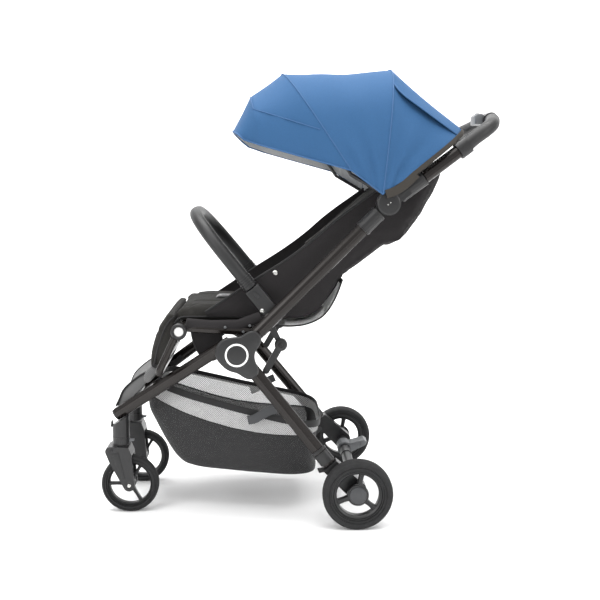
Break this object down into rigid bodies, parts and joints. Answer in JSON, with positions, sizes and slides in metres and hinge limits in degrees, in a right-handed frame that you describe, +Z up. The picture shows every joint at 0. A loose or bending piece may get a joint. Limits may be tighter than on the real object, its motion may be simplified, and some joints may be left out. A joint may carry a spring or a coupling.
{
  "type": "baby stroller",
  "caption": "Cabin-size folding baby stroller: oval-tube frame, swivel front wheels, braked rear wheels, bumper bar, leg rest, basket, sun canopy and folding handle.",
  "frame": {"origin": "on the floor, under the middle of the stroller's box", "axes": "front faces -X, the stroller's left side is -Y, +Z is up"},
  "size_m": [0.8961, 0.503, 0.9762],
  "materials": {
    "tube": "gloss dark anodised oval tube",
    "plastic": "moulded glass-filled nylon, fine texture",
    "tyre": "moulded EVA foam",
    "rim": "moulded nylon",
    "grip": "EVA foam with a stitched leatherette cover",
    "seat_fabric": "brushed polyester over foam",
    "side_fabric": "woven polyester",
    "canopy_fabric": "coated woven polyester",
    "basket_mesh": "knitted polyester mesh",
    "foot_mesh": "pale knitted mesh"
  },
  "bodies": {
    "back_frame": {"hub_housing_left": "plastic", "hub_housing_right": "plastic", "hub_plate_left": "plastic", "hub_plate_right": "plastic", "back_tube_left": "tube", "back_tube_right": "tube", "lower_sleeve_left": "plastic", "lower_sleeve_right": "plastic", "bumper_socket_left": "plastic", "bumper_socket_right": "plastic", "seat_frame": "side_fabric", "seat_pad": "seat_fabric", "side_panel_left": "side_fabric", "side_panel_right": "side_fabric", "canopy_bow_rear": "plastic", "canopy_rear": "canopy_fabric"},
    "rear_legs": {"rear_leg_left": "tube", "rear_leg_right": "tube", "rear_foot_left": "plastic", "rear_foot_right": "plastic", "rear_axle_bar": "plastic", "basket": "basket_mesh"},
    "front_legs": {"front_leg_left": "tube", "front_leg_right": "tube", "caster_housing_left": "plastic", "caster_housing_right": "plastic", "front_crossbar": "plastic", "foot_panel": "foot_mesh"},
    "upper_links": {"upper_link_left": "plastic", "upper_link_right": "plastic"},
    "lower_links": {"lower_link_left": "plastic", "lower_link_right": "plastic"},
    "brake": {"brake_pedal": "plastic"},
    "handle": {"upper_sleeve_left": "plastic", "upper_sleeve_right": "plastic", "handle_tube_left": "tube", "handle_tube_right": "tube", "handle_grip": "grip"},
    "fold_button": {"fold_button": "plastic"},
    "canopy_mid": {"canopy_bow_mid": "plastic", "canopy_top": "canopy_fabric"},
    "canopy_front": {"canopy_bow_front": "plastic", "canopy_visor": "canopy_fabric"},
    "bumper": {"bumper_bar": "grip"},
    "leg_rest": {"leg_rest_frame": "plastic", "leg_rest_pad": "seat_fabric"},
    "backrest": {"backrest": "seat_fabric"},
    "caster_left": {"caster_yoke_left": "plastic"},
    "fork_left": {"caster_fork_left": "plastic"},
    "front_wheel_left": {"front_tyre_left": "tyre", "front_rim_left": "rim"},
    "rear_wheel_left": {"rear_tyre_left": "tyre", "rear_rim_left": "rim"},
    "caster_right": {"caster_yoke_right": "plastic"},
    "fork_right": {"caster_fork_right": "plastic"},
    "front_wheel_right": {"front_tyre_right": "tyre", "front_rim_right": "rim"},
    "rear_wheel_right": {"rear_tyre_right": "tyre", "rear_rim_right": "rim"}
  },
  "joints": [
    {"name": "frame_fold", "type": "hinge", "parent": "back_frame", "child": "rear_legs", "pos_m": [-0.143, 0, 0.373], "axis": [0, -1, 0], "range_deg": [0, 80], "deforming": ["basket", "backrest"]},
    {"name": "front_leg_fold", "type": "hinge", "parent": "back_frame", "child": "front_legs", "pos_m": [-0.143, 0, 0.373], "axis": [0, -1, 0], "range_deg": [0, 143]},
    {"name": "upper_link_fold", "type": "hinge", "parent": "back_frame", "child": "upper_links", "pos_m": [-0.072, 0, 0.425], "axis": [0, -1, 0], "range_deg": [0, 113]},
    {"name": "lower_link_fold", "type": "hinge", "parent": "rear_legs", "child": "lower_links", "pos_m": [-0.082, 0, 0.328], "axis": [0, -1, 0], "range_deg": [-104, 0]},
    {"name": "brake_pedal", "type": "hinge", "parent": "rear_legs", "child": "brake", "pos_m": [0.111, 0.125, 0.075], "axis": [0, 1, 0], "range_deg": [0, 18]},
    {"name": "handle_fold", "type": "hinge", "parent": "back_frame", "child": "handle", "pos_m": [0.174, 0, 0.687], "axis": [0, 1, 0], "range_deg": [0, 85], "deforming": ["canopy_rear"]},
    {"name": "fold_button", "type": "slide", "parent": "handle", "child": "fold_button", "axis": [1, 0, 0], "range_m": [0, 0.002], "stiffness_N_per_m": 400, "springref_m": -0.002},
    {"name": "canopy_fold", "type": "hinge", "parent": "back_frame", "child": "canopy_mid", "pos_m": [0.174, 0, 0.687], "axis": [0, 1, 0], "range_deg": [0, 27], "deforming": ["canopy_top", "canopy_visor"]},
    {"name": "canopy_visor_fold", "type": "hinge", "parent": "canopy_mid", "child": "canopy_front", "pos_m": [0.007, 0, 0.853], "axis": [0, 1, 0], "range_deg": [0, 22]},
    {"name": "bumper_release", "type": "slide", "parent": "back_frame", "child": "bumper", "axis": [-0.5818, 0, 0.8133], "range_m": [0, 0.06]},
    {"name": "leg_rest_angle", "type": "hinge", "parent": "back_frame", "child": "leg_rest", "pos_m": [-0.265, 0, 0.419], "axis": [0, 1, 0], "range_deg": [0, 55], "deforming": ["leg_rest_pad"]},
    {"name": "backrest_recline", "type": "hinge", "parent": "back_frame", "child": "backrest", "pos_m": [-0.085, 0, 0.45], "axis": [0, -1, 0], "range_deg": [0, 22]},
    {"name": "caster_swivel_left", "type": "hinge", "parent": "front_legs", "child": "caster_left", "pos_m": [-0.405, -0.107, 0.16], "axis": [0, 0, 1], "continuous": true},
    {"name": "front_suspension_left", "type": "hinge", "parent": "caster_left", "child": "fork_left", "pos_m": [-0.427, -0.107, 0.142], "axis": [0, -1, 0], "range_deg": [0, 4], "stiffness_Nm_per_rad": 30, "springref_deg": -3.44},
    {"name": "front_wheel_spin_left", "type": "hinge", "parent": "fork_left", "child": "front_wheel_left", "pos_m": [-0.3865, -0.107, 0.0635], "axis": [0, 1, 0], "continuous": true},
    {"name": "rear_wheel_spin_left", "type": "hinge", "parent": "rear_legs", "child": "rear_wheel_left", "pos_m": [0.111, -0.2355, 0.075], "axis": [0, 1, 0], "continuous": true},
    {"name": "caster_swivel_right", "type": "hinge", "parent": "front_legs", "child": "caster_right", "pos_m": [-0.405, 0.107, 0.16], "axis": [0, 0, 1], "continuous": true},
    {"name": "front_suspension_right", "type": "hinge", "parent": "caster_right", "child": "fork_right", "pos_m": [-0.427, 0.107, 0.142], "axis": [0, -1, 0], "range_deg": [0, 4], "stiffness_Nm_per_rad": 30, "springref_deg": -3.44},
    {"name": "front_wheel_spin_right", "type": "hinge", "parent": "fork_right", "child": "front_wheel_right", "pos_m": [-0.3865, 0.107, 0.0635], "axis": [0, 1, 0], "continuous": true},
    {"name": "rear_wheel_spin_right", "type": "hinge", "parent": "rear_legs", "child": "rear_wheel_right", "pos_m": [0.111, 0.2355, 0.075], "axis": [0, 1, 0], "continuous": true}
  ],
  "couplings": [
    {"joint": "front_leg_fold", "follows": "frame_fold", "ratio": 1.775},
    {"joint": "upper_link_fold", "follows": "frame_fold", "ratio": 1.4},
    {"joint": "lower_link_fold", "follows": "frame_fold", "ratio": -1.28},
    {"joint": "canopy_visor_fold", "follows": "canopy_fold", "ratio": 0.8}
  ]
}
